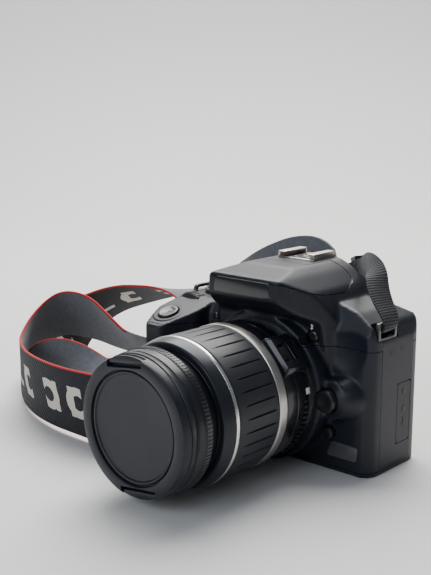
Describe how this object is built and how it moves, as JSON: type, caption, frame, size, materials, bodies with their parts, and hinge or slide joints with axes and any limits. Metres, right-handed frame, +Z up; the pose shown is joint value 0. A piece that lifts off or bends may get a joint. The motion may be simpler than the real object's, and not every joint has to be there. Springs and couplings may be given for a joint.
{
  "type": "dslr camera",
  "caption": "Single-lens reflex camera with zoom lens, pop-up flash, lens cap and a woven neck strap.",
  "frame": {"origin": "mouth of the tripod socket in the base plane, under the lens axis", "axes": "+X terminal side, -Y the way the lens looks, +Z up"},
  "size_m": [0.2546, 0.1931, 0.0999],
  "materials": {
    "body_plastic": "fine matt grain",
    "button_plastic": "satin",
    "lens_plastic": "satin",
    "gloss_black": "gloss",
    "rubber": "matt",
    "grey_collar": "satin",
    "bright_trim": "satin",
    "shoe_steel": "satin",
    "mount_steel": "satin",
    "lug_steel": "gloss",
    "screw_steel": "satin",
    "glass": "clear",
    "finder_glass": "clear",
    "mirror": "silvered",
    "screen_glass": "gloss",
    "inner_black": "matt",
    "shutter_metal": "matt",
    "sensor_green": "coated",
    "circuit_board": "satin",
    "battery_plastic": "satin",
    "card_plastic": "satin",
    "strap_fabric": "woven",
    "webbing_fabric": "ribbed",
    "buckle_plastic": "satin"
  },
  "bodies": {
    "camera": {"base_plate": "body_plastic", "battery": "battery_plastic", "chamber_frames": "inner_black", "eyecup": "rubber", "finder_optics": "finder_glass", "front_shell": "body_plastic", "hot_shoe": "shoe_steel", "image_sensor": "sensor_green", "lens_barrel": "gloss_black", "lens_mount_ring": "mount_steel", "main_board": "circuit_board", "memory_card": "card_plastic", "mirror_box": "inner_black", "rear_element": "glass", "rear_screen": "screen_glass", "rear_shell": "body_plastic", "screws": "screw_steel", "shutter_frame": "shutter_metal", "side_panel": "body_plastic", "strap_band": "strap_fabric", "strap_buckles": "buckle_plastic", "strap_lugs": "lug_steel", "strap_webbing": "webbing_fabric", "top_cover": "body_plastic", "tripod_socket": "mount_steel"},
    "terminal_cover": {"terminal_cover": "rubber"},
    "card_door": {"card_door": "body_plastic"},
    "battery_door": {"battery_door": "body_plastic"},
    "flash_head": {"flash_head": "body_plastic"},
    "reflex_mirror": {"reflex_mirror": "mirror"},
    "sub_mirror": {"sub_mirror": "mirror"},
    "shutter_curtain": {"shutter_curtain": "shutter_metal"},
    "diopter_knob": {"diopter_knob": "button_plastic"},
    "shutter_button": {"shutter_button": "button_plastic"},
    "main_dial": {"main_dial": "button_plastic"},
    "mode_dial": {"mode_dial": "button_plastic"},
    "power_switch": {"power_switch": "button_plastic"},
    "iso_button": {"iso_button": "button_plastic"},
    "flash_button": {"flash_button": "button_plastic"},
    "lens_release_button": {"lens_release_button": "button_plastic"},
    "depth_preview_button": {"depth_preview_button": "button_plastic"},
    "zoom_ring": {"zoom_ring": "grey_collar", "zoom_grip": "rubber", "zoom_trim_ring": "bright_trim"},
    "inner_barrel": {"inner_barrel": "lens_plastic"},
    "focus_ring": {"focus_ring": "lens_plastic", "front_element": "glass"},
    "focus_switch": {"focus_switch": "button_plastic"},
    "lens_cap": {"lens_cap": "lens_plastic"},
    "cap_latch_upper": {"cap_latch_upper": "lens_plastic"},
    "cap_latch_lower": {"cap_latch_lower": "lens_plastic"},
    "menu_button": {"menu_button": "button_plastic"},
    "display_button": {"display_button": "button_plastic"},
    "exposure_comp_button": {"exposure_comp_button": "button_plastic"},
    "play_button": {"play_button": "button_plastic"},
    "erase_button": {"erase_button": "button_plastic"},
    "exposure_lock_button": {"exposure_lock_button": "button_plastic"},
    "focus_point_button": {"focus_point_button": "button_plastic"},
    "cross_key_pad": {"cross_key_pad": "button_plastic"},
    "set_button": {"set_button": "button_plastic"}
  },
  "joints": [
    {"name": "terminal_cover_turn", "type": "hinge", "parent": "camera", "child": "terminal_cover", "pos_m": [0.0565, 0.0075, 0.026], "axis": [0, 0, -1], "range_deg": [0, 100]},
    {"name": "card_door_turn", "type": "hinge", "parent": "camera", "child": "card_door", "pos_m": [-0.0696, 0.01825, 0.034], "axis": [0, 0, -1], "range_deg": [0, 100]},
    {"name": "battery_door_turn", "type": "hinge", "parent": "camera", "child": "battery_door", "pos_m": [-0.04935, -0.0064, 0.00015], "axis": [0, -1, 0], "range_deg": [0, 100]},
    {"name": "flash_head_turn", "type": "hinge", "parent": "camera", "child": "flash_head", "pos_m": [0, 0.0085, 0.09], "axis": [-1, 0, 0], "range_deg": [0, 50]},
    {"name": "reflex_mirror_turn", "type": "hinge", "parent": "camera", "child": "reflex_mirror", "pos_m": [0, 0.008, 0.0468], "axis": [-1, 0, 0], "range_deg": [0, 45]},
    {"name": "sub_mirror_turn", "type": "hinge", "parent": "reflex_mirror", "child": "sub_mirror", "pos_m": [0, 0.00015, 0.03626], "axis": [-1, 0, 0], "range_deg": [0, 90]},
    {"name": "shutter_curtain_slide", "type": "slide", "parent": "camera", "child": "shutter_curtain", "axis": [0, 0, -1], "range_m": [0, 0.017]},
    {"name": "diopter_knob_turn", "type": "hinge", "parent": "camera", "child": "diopter_knob", "pos_m": [0.0225, 0.025, 0.0805], "axis": [0, 1, 0], "range_deg": [-40, 40]},
    {"name": "shutter_button_slide", "type": "slide", "parent": "camera", "child": "shutter_button", "axis": [0, 0.3584, -0.9336], "range_m": [0, 0.0015], "stiffness_N_per_m": 300, "springref_m": -0.0005},
    {"name": "main_dial_turn", "type": "hinge", "parent": "camera", "child": "main_dial", "pos_m": [-0.058, -0.0096, 0.0634], "axis": [0, 1, 0], "continuous": true},
    {"name": "mode_dial_turn", "type": "hinge", "parent": "camera", "child": "mode_dial", "pos_m": [-0.051, 0.009, 0.074], "axis": [0, 0, 1], "continuous": true},
    {"name": "power_switch_turn", "type": "hinge", "parent": "camera", "child": "power_switch", "pos_m": [-0.051, 0.009, 0.0716], "axis": [0, 0, 1], "range_deg": [0, 35]},
    {"name": "iso_button_slide", "type": "slide", "parent": "camera", "child": "iso_button", "axis": [0, 0, -1], "range_m": [0, 0.0005], "stiffness_N_per_m": 300, "springref_m": -0.0005},
    {"name": "flash_button_slide", "type": "slide", "parent": "camera", "child": "flash_button", "axis": [0, 1, 0], "range_m": [0, 0.0008], "stiffness_N_per_m": 300, "springref_m": -0.0005},
    {"name": "lens_release_button_slide", "type": "slide", "parent": "camera", "child": "lens_release_button", "axis": [0, 1, 0], "range_m": [0, 0.0015], "stiffness_N_per_m": 300, "springref_m": -0.0005},
    {"name": "depth_preview_button_slide", "type": "slide", "parent": "camera", "child": "depth_preview_button", "axis": [0, 1, 0], "range_m": [0, 0.001], "stiffness_N_per_m": 300, "springref_m": -0.0005},
    {"name": "menu_button_slide", "type": "slide", "parent": "camera", "child": "menu_button", "axis": [0, -1, 0], "range_m": [0, 0.0006], "stiffness_N_per_m": 300, "springref_m": -0.0005},
    {"name": "display_button_slide", "type": "slide", "parent": "camera", "child": "display_button", "axis": [0, -1, 0], "range_m": [0, 0.0006], "stiffness_N_per_m": 300, "springref_m": -0.0005},
    {"name": "exposure_comp_button_slide", "type": "slide", "parent": "camera", "child": "exposure_comp_button", "axis": [0, -1, 0], "range_m": [0, 0.0006], "stiffness_N_per_m": 300, "springref_m": -0.0005},
    {"name": "play_button_slide", "type": "slide", "parent": "camera", "child": "play_button", "axis": [0, -1, 0], "range_m": [0, 0.0006], "stiffness_N_per_m": 300, "springref_m": -0.0005},
    {"name": "erase_button_slide", "type": "slide", "parent": "camera", "child": "erase_button", "axis": [0, -1, 0], "range_m": [0, 0.0006], "stiffness_N_per_m": 300, "springref_m": -0.0005},
    {"name": "exposure_lock_button_slide", "type": "slide", "parent": "camera", "child": "exposure_lock_button", "axis": [0, -1, 0], "range_m": [0, 0.0006], "stiffness_N_per_m": 300, "springref_m": -0.0005},
    {"name": "focus_point_button_slide", "type": "slide", "parent": "camera", "child": "focus_point_button", "axis": [0, -1, 0], "range_m": [0, 0.0006], "stiffness_N_per_m": 300, "springref_m": -0.0005},
    {"name": "cross_key_pad_slide", "type": "slide", "parent": "camera", "child": "cross_key_pad", "axis": [0, -1, 0], "range_m": [0, 0.0006], "stiffness_N_per_m": 300, "springref_m": -0.0005},
    {"name": "set_button_slide", "type": "slide", "parent": "camera", "child": "set_button", "axis": [0, -1, 0], "range_m": [0, 0.0006], "stiffness_N_per_m": 300, "springref_m": -0.0005},
    {"name": "zoom_ring_turn", "type": "hinge", "parent": "camera", "child": "zoom_ring", "pos_m": [0, -0.06, 0.0363], "axis": [0, 1, 0], "range_deg": [0, 62]},
    {"name": "inner_barrel_slide", "type": "slide", "parent": "camera", "child": "inner_barrel", "axis": [0, 1, 0], "range_m": [0, 0.0055]},
    {"name": "focus_ring_turn", "type": "hinge", "parent": "inner_barrel", "child": "focus_ring", "pos_m": [0, -0.098, 0.0363], "axis": [0, 1, 0], "range_deg": [-60, 60]},
    {"name": "focus_switch_slide", "type": "slide", "parent": "camera", "child": "focus_switch", "axis": [0, 1, 0], "range_m": [0, 0.0035]},
    {"name": "lens_cap_slide", "type": "slide", "parent": "focus_ring", "child": "lens_cap", "axis": [0, -1, 0], "range_m": [0, 0.012]},
    {"name": "cap_latch_upper_slide", "type": "slide", "parent": "lens_cap", "child": "cap_latch_upper", "axis": [0.1392, 0, -0.9903], "range_m": [0, 0.0014], "stiffness_N_per_m": 300, "springref_m": -0.0005},
    {"name": "cap_latch_lower_slide", "type": "slide", "parent": "lens_cap", "child": "cap_latch_lower", "axis": [-0.1392, 0, 0.9903], "range_m": [0, 0.0014], "stiffness_N_per_m": 300, "springref_m": -0.0005}
  ],
  "couplings": [
    {"joint": "sub_mirror_turn", "follows": "reflex_mirror_turn", "ratio": 2},
    {"joint": "inner_barrel_slide", "follows": "zoom_ring_turn", "m_per_rad": 0.0050827}
  ]
}
